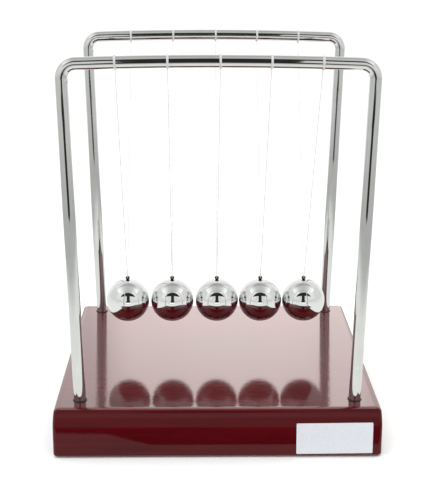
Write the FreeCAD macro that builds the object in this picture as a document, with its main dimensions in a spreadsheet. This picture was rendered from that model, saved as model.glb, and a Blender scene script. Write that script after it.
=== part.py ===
"""Newton's cradle: five steel balls on V lines between two rod frames on a square board.

Millimetres, +Z up. The origin is the centre of the footprint on the table, the front of the
cradle faces -Y and the row of balls runs along X, ball_1 being the leftmost.
"""
import math
import os

import FreeCAD
import Part
import Sketcher

Vector = FreeCAD.Vector
Rotation = FreeCAD.Rotation
Placement = FreeCAD.Placement
X_AXIS = Vector(1, 0, 0)
Y_AXIS = Vector(0, 1, 0)

BALLS = (1, 2, 3, 4, 5)
SIDES = {"left": -1, "right": 1}
ENDS = {"front": -1, "rear": 1}

# Driving dimensions: alias, value, what it is.
DRIVING = (
    ("board_width", 152.4, "board along X, 6 in"),
    ("board_depth", 152.4, "board along Y, 6 in"),
    ("base_top", 24.0, "height of the board's top face above the table"),
    ("pad_thickness", 0.8, "felt pads that the board stands on"),
    ("pad_radius", 6.0, "felt pads"),
    ("corner_radius", 2.0, "board's upright corners"),
    ("crown_inset", 0.9, "how far the upper edges lean in"),
    ("crown_drop", 10.0, "height over which they lean in"),
    ("top_edge_radius", 1.3, "rounding of the top edges"),
    ("low_edge_radius", 0.8, "rounding of the bottom edges"),
    ("rod_radius", 2.8, "frame rod"),
    ("foot_x", 64.25, "leg axis from the middle at the board's top"),
    ("frame_y", 64.2, "frame plane from the middle"),
    ("splay", 1.527, "degrees that each leg leans out"),
    ("bar_z", 181.4, "bar axis above the table, at its middle"),
    ("arch_radius", 1750.0, "gentle upward arch of the bar"),
    ("bend_radius", 6.3, "corner bends, on the rod's axis"),
    ("leg_depth", 14.0, "leg below the board's top"),
    ("rod_fit", 0.03, "radial clearance round a leg"),
    ("bush_radius", 3.3, "leg bush, outside"),
    ("bush_depth", 3.0, "leg bush below the board's top"),
    ("bush_proud", 0.35, "leg bush above the board's top"),
    ("screw_radius", 1.45, "M3 screw shank"),
    ("screw_engagement", 8.0, "shank inside the leg"),
    ("screw_hole_radius", 1.7, "clearance hole in the board"),
    ("thread_radius", 1.5, "tapped hole in the leg"),
    ("thread_depth", 10.0, "tapped hole in the leg"),
    ("head_radius", 2.75, "pan head"),
    ("head_height", 1.8, "pan head"),
    ("slot_width", 0.8, "cross recess in the head"),
    ("slot_length", 3.0, "cross recess in the head"),
    ("slot_depth", 1.0, "cross recess in the head"),
    ("washer_radius", 3.4, "washer, outside"),
    ("washer_thickness", 0.5, "washer"),
    ("recess_radius", 3.8, "screw recess under the board"),
    ("recess_depth", 4.2, "screw recess under the board"),
    ("ball_radius", 11.0, "ball, 22"),
    ("ball_z", 52.0, "ball centre above the table"),
    ("pin_radius", 0.75, "shank of the eye pin"),
    ("pin_depth", 3.0, "pin below the ball's top"),
    ("pin_fit", 0.02, "radial clearance of the pin"),
    ("eye_radius", 1.1, "head of the eye pin"),
    ("eye_gap", 0.2, "ball's top to the underside of the head"),
    ("eye_height", 1.4, "head of the eye pin"),
    ("eye_chamfer", 0.18, "edges of the head"),
    ("eye_hole_radius", 0.3, "cross hole for the line"),
    ("line_radius", 0.15, "nylon line"),
    ("line_bend", 0.6, "line where it leaves the eye"),
    ("wrap_radius", 0.17, "one turn of line round the bar"),
    ("wrap_pitch", 0.32, "turn to turn"),
    ("wrap_fit", 0.02, "turns clear of the rod"),
    ("knot_radius", 0.42, "knot below the turns"),
    ("knot_gap", 0.1, "knot to the free line"),
    ("label_left", 36.0, "label's left edge"),
    ("label_width", 36.0, "label"),
    ("label_low", 1.7, "label's lower edge above the table"),
    ("label_height", 15.8, "label"),
    ("label_thickness", 0.15, "label"),
    ("overshoot", 5.0, "how far a cutting tool runs past the face that it opens"),
    ("ball_x_1", -45.05, "balls along the row"),
    ("ball_x_2", -22.25, ""),
    ("ball_x_3", 0.65, ""),
    ("ball_x_4", 22.95, ""),
    ("ball_x_5", 45.25, ""),
)

# Derived dimensions: alias, formula.
DERIVED = [
    ("board_thickness", "=base_top - pad_thickness"),
    ("board_half_x", "=board_width / 2"),
    ("board_half_y", "=board_depth / 2"),
    ("bend_center_offset", "=arch_radius - bend_radius"),
    ("leg_end_z", "=base_top - leg_depth"),
    ("leg_end_x", "=foot_x - leg_depth * tan(splay)"),
    ("bush_bore", "=rod_radius + rod_fit"),
    ("bush_seat", "=bush_radius + rod_fit"),
    ("ball_top", "=ball_z + ball_radius"),
    ("pin_bottom", "=ball_top - pin_depth"),
    ("eye_low", "=ball_top + eye_gap"),
    ("eye_shoulder", "=eye_low + eye_chamfer"),
    ("eye_rim", "=eye_low + eye_height - eye_chamfer"),
    ("eye_top", "=eye_low + eye_height"),
    ("eye_crown", "=eye_radius - eye_chamfer"),
    ("eye_hole_z", "=eye_low + eye_height / 2"),
    ("pin_bore", "=pin_radius + pin_fit"),
    ("wrap_path", "=rod_radius + wrap_fit + wrap_radius"),
    ("knot_path", "=wrap_path + knot_radius"),
    ("exit_path", "=knot_path + knot_radius + knot_gap"),
    # Heights of the screw, the washer and the bush from the board's top face, down the leg.
    ("washer_top", "=recess_depth - board_thickness"),
    ("head_top", "=washer_top - washer_thickness"),
    ("head_low", "=head_top - head_height"),
    ("screw_tip", "=screw_engagement - leg_depth"),
    ("bush_low", "=-bush_depth"),
    # Start of the tapped hole's tool, below the leg's end.
    ("thread_low_x", "=foot_x - (leg_depth + overshoot) * sin(splay)"),
    ("thread_low_z", "=base_top - (leg_depth + overshoot) * cos(splay)"),
]
for number in BALLS:
    DERIVED += [
        (f"bar_z_{number}", f"=bar_z - arch_radius + sqrt(arch_radius^2 - ball_x_{number}^2)"),
        (f"bar_tilt_{number}", f"=asin(ball_x_{number} / arch_radius)"),
        (f"line_angle_{number}", f"=atan(frame_y / (bar_z_{number} - eye_hole_z))"),
        (f"exit_y_{number}", f"=frame_y - exit_path * sin(line_angle_{number})"),
        (f"exit_z_{number}", f"=bar_z_{number} - exit_path * cos(line_angle_{number})"),
    ]

doc = FreeCAD.newDocument("newtons_cradle")
sheet = doc.addObject("Spreadsheet::Sheet", "dims")
parts = []


def fill_sheet():
    """Write the driving and the derived dimensions, each with its alias."""
    rows = [(alias, str(value), note) for alias, value, note in DRIVING]
    rows += [(alias, formula, "") for alias, formula in DERIVED]
    for row, (alias, content, note) in enumerate(rows, start=1):
        sheet.set(f"A{row}", alias)
        sheet.set(f"B{row}", content)
        sheet.setAlias(f"B{row}", alias)
        sheet.set(f"C{row}", note)
    doc.recompute()


def dim(alias):
    """The number in a cell, so that first guesses in sketches start in the right place."""
    value = sheet.get(alias)
    return float(getattr(value, "Value", value))


def keep(feature, label):
    """Name a finished sub-part, which is then written to its own file."""
    feature.Label = label
    parts.append(feature)
    return feature


def bind(feature, **expressions):
    """Tie a feature's properties to expressions of the sheet's aliases."""
    for name, expression in expressions.items():
        feature.setExpression(name, expression)


def place(feature, x="0", y="0", z="0", rotation=None):
    """Put a feature at sheet-driven coordinates, turned by a fixed rotation."""
    if rotation is not None:
        feature.Placement = Placement(Vector(0, 0, 0), rotation)
    for axis, expression in (("x", x), ("y", y), ("z", z)):
        feature.setExpression(f".Placement.Base.{axis}", expression)


def cylinder(name, radius, height, z="0", turn=None):
    """A bound cylinder that starts at z on its own axis."""
    feature = doc.addObject("Part::Cylinder", name)
    bind(feature, Radius=radius, Height=height)
    place(feature, z=z, rotation=turn)
    return feature


def fuse(name, features):
    feature = doc.addObject("Part::MultiFuse", name)
    feature.Shapes = features
    return feature


def cut(name, base, tool):
    feature = doc.addObject("Part::Cut", name)
    feature.Base = base
    feature.Tool = tool
    return feature


def group(label, shapes):
    """Several identical pieces that share one node, as separate solids."""
    feature = doc.addObject("Part::Feature", label)
    feature.Shape = Part.makeCompound(shapes)
    return keep(feature, label)


def new_body(name):
    return doc.addObject("PartDesign::Body", name)


def sketch_on(body, name, role):
    """A sketch on one of the body's own origin planes."""
    sketch = body.newObject("Sketcher::SketchObject", name)
    plane = next(item for item in body.Origin.OriginFeatures if item.Role == role)
    sketch.AttachmentSupport = [(plane, "")]
    sketch.MapMode = "FlatFace"
    return sketch


def constrain(sketch, kind, *references, name=None, expression=None):
    """Add a constraint and, for a dimension, bind its value to the sheet."""
    index = sketch.addConstraint(Sketcher.Constraint(kind, *references))
    if name:
        sketch.renameConstraint(index, name)
        sketch.setExpression(f"Constraints.{name}", expression)
    return index


def axis_circle(sketch, z_alias, radius_alias):
    """A circle on the sketch's vertical axis, at a height from the sheet."""
    center = Vector(0, dim(z_alias), 0)
    circle = sketch.addGeometry(Part.Circle(center, Vector(0, 0, 1), dim(radius_alias)))
    constrain(sketch, "PointOnObject", circle, 3, -2)
    constrain(sketch, "DistanceY", -1, 1, circle, 3, dim(z_alias), name="center_z",
              expression=f"dims.{z_alias}")
    constrain(sketch, "Radius", circle, dim(radius_alias), name="radius",
              expression=f"dims.{radius_alias}")


def turned(name, points):
    """A turned piece: a closed outline of (radius, height) aliases, revolved about Z."""
    body = new_body(name)
    sketch = sketch_on(body, f"{name}_outline", "XZ_Plane")
    corners = [Vector(dim(r) if r else 0, dim(z) if z else 0, 0) for r, z in points]
    count = len(corners)
    for index, corner in enumerate(corners):
        sketch.addGeometry(Part.LineSegment(corner, corners[(index + 1) % count]))
    for index, (r_alias, z_alias) in enumerate(points):
        constrain(sketch, "Coincident", index, 1, (index - 1) % count, 2)
        if r_alias:
            constrain(sketch, "DistanceX", -1, 1, index, 1, dim(r_alias), name=f"r_{index}",
                      expression=f"dims.{r_alias}")
        else:
            constrain(sketch, "PointOnObject", index, 1, -2)
        if z_alias:
            constrain(sketch, "DistanceY", -1, 1, index, 1, dim(z_alias), name=f"z_{index}",
                      expression=f"dims.{z_alias}")
        else:
            constrain(sketch, "PointOnObject", index, 1, -1)
    revolution = body.newObject("PartDesign::Revolution", f"{name}_turn")
    revolution.Profile = sketch
    revolution.ReferenceAxis = (sketch, ["V_Axis"])
    revolution.Angle = 360.0
    return body


def edges_where(feature, test):
    """Names of a feature's edges whose ends all pass a test."""
    names = []
    for index, edge in enumerate(feature.Shape.Edges, start=1):
        if all(test(vertex.Point) for vertex in edge.Vertexes):
            names.append(f"Edge{index}")
    return names


def near(value, target):
    return abs(value - target) < 1e-4


def dress(body, kind, name, base, names, **expressions):
    """A fillet or a chamfer on named edges of the body's last feature."""
    feature = body.newObject(f"PartDesign::{kind}", name)
    feature.Base = (base, names)
    bind(feature, **expressions)
    doc.recompute()
    return feature


# ---------------------------------------------------------------- board

def rounded_square(sketch):
    """The board's outline, centred on the origin."""
    half_x, half_y, radius = dim("board_half_x"), dim("board_half_y"), dim("corner_radius")
    inner_x, inner_y = half_x - radius, half_y - radius
    runs = (
        (Vector(-inner_x, -half_y, 0), Vector(inner_x, -half_y, 0)),
        (Vector(half_x, -inner_y, 0), Vector(half_x, inner_y, 0)),
        (Vector(inner_x, half_y, 0), Vector(-inner_x, half_y, 0)),
        (Vector(-half_x, inner_y, 0), Vector(-half_x, -inner_y, 0)),
    )
    centers = ((inner_x, -inner_y), (inner_x, inner_y), (-inner_x, inner_y), (-inner_x, -inner_y))
    for start, end in runs:
        sketch.addGeometry(Part.LineSegment(start, end))
    for index, (x, y) in enumerate(centers):
        circle = Part.Circle(Vector(x, y, 0), Vector(0, 0, 1), radius)
        end = index * math.pi / 2
        sketch.addGeometry(Part.ArcOfCircle(circle, end - math.pi / 2, end))
    for index in range(4):
        constrain(sketch, "Horizontal" if index % 2 == 0 else "Vertical", index)
        constrain(sketch, "Tangent", index, 2, 4 + index, 1)
        constrain(sketch, "Tangent", 4 + index, 2, (index + 1) % 4, 1)
        if index:
            constrain(sketch, "Equal", 4, 4 + index)
    constrain(sketch, "Radius", 4, radius, name="corner", expression="dims.corner_radius")
    constrain(sketch, "DistanceY", 0, 1, -1, 1, half_y, name="front",
              expression="dims.board_half_y")
    constrain(sketch, "DistanceY", -1, 1, 2, 1, half_y, name="rear",
              expression="dims.board_half_y")
    constrain(sketch, "DistanceX", -1, 1, 1, 1, half_x, name="right",
              expression="dims.board_half_x")
    constrain(sketch, "DistanceX", 3, 1, -1, 1, half_x, name="left",
              expression="dims.board_half_x")


def build_board_blank():
    """The board before drilling: a square slab whose upper edges lean in and are rounded."""
    body = new_body("board_blank")
    outline = sketch_on(body, "board_outline", "XY_Plane")
    rounded_square(outline)
    slab = body.newObject("PartDesign::Pad", "slab")
    slab.Profile = outline
    bind(slab, Length="dims.board_thickness")
    doc.recompute()
    top = dim("board_thickness")
    crown = body.newObject("PartDesign::Chamfer", "crown")
    crown.Base = (slab, edges_where(slab, lambda point: near(point.z, top)))
    crown.ChamferType = "Two distances"
    crown.FlipDirection = True
    bind(crown, Size="dims.crown_inset", Size2="dims.crown_drop")
    doc.recompute()
    rim = dress(body, "Fillet", "top_rounding", crown,
                edges_where(crown, lambda point: near(point.z, top)),
                Radius="dims.top_edge_radius")
    dress(body, "Fillet", "low_rounding", rim,
          edges_where(rim, lambda point: near(point.z, 0)),
          Radius="dims.low_edge_radius")
    place(body, z="dims.pad_thickness")
    return body


def leg_turn(side):
    """The rotation that leans a corner's parts with the leg on that side."""
    return Rotation(Y_AXIS, SIDES[side] * dim("splay"))


def at_corner(feature, side, end):
    """Put a part whose origin is on the board's top face at one corner, along the leg."""
    place(feature, x=f"{SIDES[side]} * dims.foot_x", y=f"{ENDS[end]} * dims.frame_y",
          z="dims.base_top", rotation=leg_turn(side))


def build_board(blank):
    """Drill the blank: leg socket, bush seat, screw hole and screw recess at each corner."""
    drills = []
    for end in ENDS:
        for side in SIDES:
            tag = f"{end}_{side}"
            stack = fuse(f"drill_{tag}", [
                cylinder(f"socket_{tag}", "dims.bush_bore", "dims.leg_depth + dims.overshoot",
                         z="-dims.leg_depth"),
                cylinder(f"seat_{tag}", "dims.bush_seat", "dims.bush_depth + dims.overshoot",
                         z="-dims.bush_depth"),
                cylinder(f"screw_way_{tag}", "dims.screw_hole_radius", "dims.base_top",
                         z="-dims.base_top"),
                cylinder(f"recess_{tag}", "dims.recess_radius",
                         "dims.recess_depth + dims.overshoot",
                         z="-dims.board_thickness - dims.overshoot"),
            ])
            at_corner(stack, side, end)
            drills.append(stack)
    keep(cut("board", blank, fuse("drills", drills)), "base_board")


def build_corner_parts():
    """Bushes and pads at the four corners, and the screws and washers as two groups."""
    screw = turned("screw_blank", [
        (None, "head_low"), ("head_radius", "head_low"), ("head_radius", "head_top"),
        ("screw_radius", "head_top"), ("screw_radius", "screw_tip"), (None, "screw_tip"),
    ])
    slots = []
    for along_x, along_y in (("slot_length", "slot_width"), ("slot_width", "slot_length")):
        slot = doc.addObject("Part::Box", f"slot_with_{along_x}_along_x")
        bind(slot, Length=f"dims.{along_x}", Width=f"dims.{along_y}",
             Height="dims.slot_depth + dims.overshoot")
        place(slot, x=f"-dims.{along_x} / 2", y=f"-dims.{along_y} / 2",
              z="dims.head_low - dims.overshoot")
        slots.append(slot)
    slotted = cut("screw", screw, fuse("recess_cross", slots))
    washer = turned("washer", [
        ("screw_hole_radius", "head_top"), ("washer_radius", "head_top"),
        ("washer_radius", "washer_top"), ("screw_hole_radius", "washer_top"),
    ])
    doc.recompute()
    screws, washers = [], []
    for end, across in ENDS.items():
        for side, along in SIDES.items():
            bush = turned(f"bush_{end}_{side}", [
                ("bush_bore", "bush_low"), ("bush_radius", "bush_low"),
                ("bush_radius", "bush_proud"), ("bush_bore", "bush_proud"),
            ])
            at_corner(bush, side, end)
            keep(bush, f"leg_bush_{end}_{side}")
            pad = cylinder(f"pad_{end}_{side}", "dims.pad_radius", "dims.pad_thickness")
            place(pad, x=f"{along} * dims.foot_x", y=f"{across} * dims.frame_y")
            keep(pad, f"base_pad_{end}_{side}")
            corner = Vector(along * dim("foot_x"), across * dim("frame_y"), dim("base_top"))
            spot = Placement(corner, leg_turn(side))
            for source, copies in ((slotted, screws), (washer, washers)):
                copy = source.Shape.copy()
                copy.Placement = spot.multiply(copy.Placement)
                copies.append(copy)
    group("frame_screws", screws)
    group("screw_washers", washers)


# ---------------------------------------------------------------- frames

def draw_rod_route(route):
    """Bar arch, corner bend and leg of the right half, each tangent to the next."""
    lean = math.radians(dim("splay"))
    low = Vector(dim("leg_end_x"), dim("leg_end_z"), 0)
    arch_center = Vector(0, dim("bar_z") - dim("arch_radius"), 0)
    leg_way = Vector(math.sin(lean), math.cos(lean), 0)
    inward = Vector(-leg_way.y, leg_way.x, 0)
    # The bend's centre lies on a line beside the leg, at a set distance from the arch's centre.
    start = low + inward * dim("bend_radius")
    offset = start - arch_center
    along = offset.dot(leg_way)
    gap = dim("bend_center_offset")
    run = -along + math.sqrt(along ** 2 - offset.dot(offset) + gap ** 2)
    bend_center = start + leg_way * run
    leg_top = low + leg_way * run
    outward = (bend_center - arch_center).normalize()
    arch_end = arch_center + outward * dim("arch_radius")
    arch_middle = Vector(outward.x / 2, 1, 0)
    arch_middle = arch_center + arch_middle.normalize() * dim("arch_radius")
    bend_middle = bend_center + (outward - inward).normalize() * dim("bend_radius")
    arch = route.addGeometry(Part.Arc(arch_end, arch_middle, Vector(0, dim("bar_z"), 0)))
    bend = route.addGeometry(Part.Arc(leg_top, bend_middle, arch_end))
    leg = route.addGeometry(Part.LineSegment(low, leg_top))
    arch_joint = end_near(route, arch, arch_end)
    arch_free = 3 - arch_joint
    bend_top = end_near(route, bend, arch_end)
    constrain(route, "PointOnObject", arch, arch_free, -2)
    constrain(route, "PointOnObject", arch, 3, -2)
    constrain(route, "Tangent", arch, arch_joint, bend, bend_top)
    constrain(route, "Tangent", bend, 3 - bend_top, leg, 2)
    constrain(route, "DistanceY", -1, 1, arch, arch_free, dim("bar_z"), name="bar_z",
              expression="dims.bar_z")
    constrain(route, "Radius", arch, dim("arch_radius"), name="arch",
              expression="dims.arch_radius")
    constrain(route, "Radius", bend, dim("bend_radius"), name="bend",
              expression="dims.bend_radius")
    constrain(route, "DistanceX", -1, 1, leg, 1, dim("leg_end_x"), name="leg_end_x",
              expression="dims.leg_end_x")
    constrain(route, "DistanceY", -1, 1, leg, 1, dim("leg_end_z"), name="leg_end_z",
              expression="dims.leg_end_z")
    constrain(route, "Angle", -2, 1, leg, 1, -lean, name="lean", expression="-dims.splay * 1 deg")


def end_near(sketch, index, point):
    """Which end of a piece of sketch geometry lies at a point: 1 for start, 2 for end."""
    return 1 if (sketch.getPoint(index, 1) - point).Length < 1e-6 else 2


def mirror_half(body, name, half, role):
    """Mirror a swept half across one of the body's own planes."""
    doc.recompute()
    mirrored = body.newObject("PartDesign::Mirrored", name)
    mirrored.Originals = [half]
    plane = next(item for item in body.Origin.OriginFeatures if item.Role == role)
    mirrored.MirrorPlane = (plane, [""])
    body.Tip = mirrored
    doc.recompute()


def build_frame_rod(name):
    """Half of the bent rod, swept from the middle of the bar to the leg's end, then mirrored."""
    body = new_body(name)
    section = sketch_on(body, f"{name}_section", "YZ_Plane")
    axis_circle(section, "bar_z", "rod_radius")
    route = sketch_on(body, f"{name}_route", "XZ_Plane")
    draw_rod_route(route)
    pipe = body.newObject("PartDesign::AdditivePipe", f"{name}_sweep")
    pipe.Profile = section
    pipe.Spine = route
    mirror_half(body, f"{name}_mirror", pipe, "YZ_Plane")
    return body


def build_frame(end):
    """One U frame, with a tapped hole up each leg for its screw."""
    rod = build_frame_rod(f"{end}_rod")
    holes = []
    for side, along in SIDES.items():
        hole = cylinder(f"{end}_thread_{side}", "dims.thread_radius",
                        "dims.thread_depth + dims.overshoot")
        place(hole, x=f"{along} * dims.thread_low_x", z="dims.thread_low_z",
              rotation=leg_turn(side))
        holes.append(hole)
    frame = cut(f"{end}_u", rod, fuse(f"{end}_threads", holes))
    place(frame, y=f"{ENDS[end]} * dims.frame_y")
    keep(frame, f"{end}_frame")


# ---------------------------------------------------------------- balls, eyes and lines

def build_ball(number):
    """A ball with a blind bore in its top, and the eye pin that sits in it."""
    sphere = doc.addObject("Part::Sphere", f"sphere_{number}")
    bind(sphere, Radius="dims.ball_radius")
    place(sphere, z="dims.ball_z")
    bore = cylinder(f"bore_{number}", "dims.pin_bore", "dims.pin_depth + dims.overshoot",
                    z="dims.pin_bottom")
    ball = cut(f"bored_ball_{number}", sphere, bore)
    place(ball, x=f"dims.ball_x_{number}")
    keep(ball, f"ball_{number}")
    pin = turned(f"pin_{number}", [
        (None, "pin_bottom"), ("pin_radius", "pin_bottom"), ("pin_radius", "eye_low"),
        ("eye_crown", "eye_low"), ("eye_radius", "eye_shoulder"), ("eye_radius", "eye_rim"),
        ("eye_crown", "eye_top"), (None, "eye_top"),
    ])
    hole = cylinder(f"eye_hole_{number}", "dims.eye_hole_radius", "4 * dims.eye_radius")
    place(hole, y="2 * dims.eye_radius", z="dims.eye_hole_z", rotation=Rotation(X_AXIS, 90))
    eye = cut(f"eye_{number}", pin, hole)
    place(eye, x=f"dims.ball_x_{number}")
    keep(eye, f"ball_eye_{number}")


def build_line(number):
    """The V line: from the eye's middle to the rear bar's knot, mirrored to the front."""
    body = new_body(f"line_{number}")
    section = sketch_on(body, f"line_section_{number}", "XZ_Plane")
    axis_circle(section, "eye_hole_z", "line_radius")
    route = sketch_on(body, f"line_route_{number}", "YZ_Plane")
    bend = dim("line_bend")
    low = Vector(0, dim("eye_hole_z"), 0)
    top = Vector(dim(f"exit_y_{number}"), dim(f"exit_z_{number}"), 0)
    # The bend starts where the head of the eye ends.
    turn_start = Vector(dim("eye_radius"), low.y, 0)
    center = turn_start + Vector(0, bend, 0)
    reach = (top - center).Length
    # Tangent from the knot to the bend's circle.
    way = (top - center).normalize()
    side = Vector(way.y, -way.x, 0)
    turn_end = center + way * (bend ** 2 / reach)
    turn_end = turn_end + side * (bend * math.sqrt(1 - (bend / reach) ** 2))
    halfway = (turn_start - center) + (turn_end - center)
    middle = center + halfway.normalize() * bend
    run = route.addGeometry(Part.LineSegment(low, turn_start))
    arc = route.addGeometry(Part.Arc(turn_start, middle, turn_end))
    strand = route.addGeometry(Part.LineSegment(turn_end, top))
    first = end_near(route, arc, turn_start)
    constrain(route, "PointOnObject", run, 1, -2)
    constrain(route, "Horizontal", run)
    constrain(route, "Tangent", run, 2, arc, first)
    constrain(route, "Tangent", arc, 3 - first, strand, 1)
    constrain(route, "DistanceY", -1, 1, run, 1, low.y, name="hole_z",
              expression="dims.eye_hole_z")
    constrain(route, "DistanceX", -1, 1, run, 2, turn_start.x, name="turn_start",
              expression="dims.eye_radius")
    constrain(route, "Radius", arc, bend, name="bend", expression="dims.line_bend")
    constrain(route, "DistanceX", -1, 1, strand, 2, top.x, name="exit_y",
              expression=f"dims.exit_y_{number}")
    constrain(route, "DistanceY", -1, 1, strand, 2, top.y, name="exit_z",
              expression=f"dims.exit_z_{number}")
    pipe = body.newObject("PartDesign::AdditivePipe", f"line_sweep_{number}")
    pipe.Profile = section
    pipe.Spine = route
    mirror_half(body, f"line_mirror_{number}", pipe, "XZ_Plane")
    place(body, x=f"dims.ball_x_{number}")
    keep(body, f"suspension_line_{number}")


def build_loop(number, end):
    """Three turns of line round the bar, with the knot on the side that the line leaves."""
    tag = f"{end}_{number}"
    turns = []
    for step in (-1, 0, 1):
        turn = doc.addObject("Part::Torus", f"turn_{tag}_{step + 2}")
        bind(turn, Radius1="dims.wrap_path", Radius2="dims.wrap_radius")
        place(turn, z=f"{step} * dims.wrap_pitch")
        turns.append(turn)
    knot = doc.addObject("Part::Sphere", f"knot_{tag}")
    bind(knot, Radius="dims.knot_radius")
    angle = f"dims.line_angle_{number}"
    place(knot, x=f"dims.knot_path * cos({angle})",
          y=f"{-ENDS[end]} * dims.knot_path * sin({angle})")
    loop = fuse(f"loop_{tag}", turns + [knot])
    place(loop, x=f"dims.ball_x_{number}", y=f"{ENDS[end]} * dims.frame_y",
          z=f"dims.bar_z_{number}", rotation=Rotation(Y_AXIS, 90 + dim(f"bar_tilt_{number}")))
    keep(loop, f"line_loop_{end}_{number}")


# ---------------------------------------------------------------- label

def build_label(blank):
    """A thin plate that follows the board's front edge: a shifted board less the board."""
    skin = doc.addObject("Part::Feature", "label_skin")
    skin.Shape = blank.Shape.copy()
    place(skin, y="-dims.label_thickness", z="dims.pad_thickness")
    window = doc.addObject("Part::Box", "label_window")
    bind(window, Length="dims.label_width", Width="2 * dims.overshoot",
         Height="dims.label_height")
    place(window, x="dims.label_left", y="-dims.board_half_y - dims.overshoot",
          z="dims.label_low")
    patch = doc.addObject("Part::Common", "label_patch")
    patch.Base = skin
    patch.Tool = window
    keep(cut("label", patch, blank), "front_label")


def build_model():
    """Make every sub-part."""
    blank = build_board_blank()
    build_board(blank)
    build_corner_parts()
    for end in ENDS:
        build_frame(end)
    for number in BALLS:
        build_ball(number)
        build_line(number)
        for end in ENDS:
            build_loop(number, end)
    build_label(blank)
    doc.recompute()


def check_model():
    """Stop if any object failed to compute or any sub-part is not a valid solid."""
    for item in doc.Objects:
        if "Invalid" in item.State or "Error" in item.State:
            raise RuntimeError(f"{item.Name} did not compute: {item.getStatusString()}")
    for part in parts:
        shape = part.Shape
        if shape.isNull() or not shape.isValid() or not shape.Solids:
            raise RuntimeError(f"{part.Label} is not a valid solid")


def write_parts():
    os.makedirs("parts", exist_ok=True)
    for part in parts:
        part.Shape.exportStep(f"parts/{part.Label}.step")
        print(f"{part.Label}: {part.Shape.Volume:.4f} mm3, {len(part.Shape.Solids)} solid(s)")


fill_sheet()
build_model()
check_model()
write_parts()
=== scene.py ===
"""Looks of a Newton's cradle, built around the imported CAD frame. Metres, +Z up.

The front of the cradle faces -Y and the row of balls runs along X, ball_1 at the left.
"""

import math
import random

import bmesh
import bpy
from mathutils import Matrix, Vector


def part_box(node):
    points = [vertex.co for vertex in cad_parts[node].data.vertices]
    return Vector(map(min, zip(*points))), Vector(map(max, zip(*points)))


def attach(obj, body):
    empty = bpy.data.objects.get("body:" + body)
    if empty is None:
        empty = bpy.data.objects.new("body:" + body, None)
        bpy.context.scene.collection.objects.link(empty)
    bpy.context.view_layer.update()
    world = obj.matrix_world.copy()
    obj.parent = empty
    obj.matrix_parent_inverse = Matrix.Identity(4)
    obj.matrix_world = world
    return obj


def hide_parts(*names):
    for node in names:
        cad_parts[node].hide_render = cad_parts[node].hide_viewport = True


MM = 0.001
UP = Vector((0, 0, 1))
X_AXIS = Vector((1, 0, 0))
Y_AXIS = Vector((0, 1, 0))

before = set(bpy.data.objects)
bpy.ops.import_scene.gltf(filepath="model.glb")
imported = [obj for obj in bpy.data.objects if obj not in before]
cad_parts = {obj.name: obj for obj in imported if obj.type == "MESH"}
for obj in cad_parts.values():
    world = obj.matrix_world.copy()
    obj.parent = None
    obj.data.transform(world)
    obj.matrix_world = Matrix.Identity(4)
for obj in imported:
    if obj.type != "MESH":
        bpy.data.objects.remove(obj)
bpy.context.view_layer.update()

BALLS = (1, 2, 3, 4, 5)
ENDS = {"front": -1, "rear": 1}
SIDES = {"left": -1, "right": 1}

# Sizes that the CAD nodes have, so that each detailed piece fits its node.
SPLAY = math.radians(1.527)
CORNER_RADIUS = 2.0 * MM
CROWN_INSET = 0.9 * MM
CROWN_DROP = 10.0 * MM
LOW_EDGE = 0.8 * MM
FOOT_X = 64.25 * MM
ARCH_RADIUS = 1750 * MM
BEND_RADIUS = 6.3 * MM
LEG_DEPTH = 14 * MM
BUSH_DEPTH = 3 * MM
BUSH_RADIUS = 3.3 * MM
BUSH_BORE = 2.83 * MM
BUSH_SEAT = 3.33 * MM
SCREW_HOLE_RADIUS = 1.7 * MM
RECESS_RADIUS = 3.8 * MM
RECESS_DEPTH = 4.2 * MM
PIN_DEPTH = 3 * MM
PIN_RADIUS = 0.75 * MM
PIN_BORE = 0.77 * MM
EYE_HEIGHT = 1.4 * MM
EYE_HOLE = 0.3 * MM
LINE_RADIUS = 0.15 * MM
LINE_BEND = 0.6 * MM
WRAP_RADIUS = 0.17 * MM
WRAP_PATH = 2.99 * MM
KNOT_PATH = 3.41 * MM
KNOT_CLEARANCE = 0.3 * MM

# Sizes of the finer shapes that only the looks have.
CROWN_POWER = 1.7
CORNER_EASE = 0.35
EDGE_RUN = 3.0 * MM
EDGE_DROP = 1.9 * MM
LABEL_TRIM = 0.3 * MM
LABEL_TURN = math.radians(0.5)
LABEL_THICKNESS = 0.15 * MM
LABEL_CORNER = 0.15 * MM
PIN_NECK = 0.60 * MM
COUNTERSINK = 0.12 * MM
WRAP_PITCH = 0.32 * MM
RIPPLES = 5.5
RIPPLE_HEIGHT = 0.035 * MM
BEAD_HEIGHT = 0.32 * MM
BEAD_WIDTH = 0.55 * MM
BEAD_BELOW_BEND = 1.1 * MM

# Edges steeper than these stay sharp: on turned and swept pieces, and on drilled ones.
SHARP_ANGLE = math.radians(35)
DRILLED_SHARP_ANGLE = math.radians(30)

# The values that a texture mostly gives.
NOISE_RANGE = (0.3, 0.7)

# The camera, in the cradle's frame.
CAMERA_SPOT = Vector((-9.846, -557.312, 235.95)) * MM
CAMERA_YAW = math.radians(1.08)
CAMERA_PITCH = math.radians(15.262)
CAMERA_ROLL = math.radians(0.226)
CAMERA_LENS = 85.17
CAMERA_SENSOR = 36
CAMERA_CLIP = 0.02

# Card colours.
PALE = (1.0, 1.0, 0.985)
GREY = (0.985, 1.0, 0.97)
DARK = (0.03, 0.03, 0.028)


def middle(node):
    """Centre of a CAD node's box."""
    low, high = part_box(node)
    return (low + high) / 2


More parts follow.
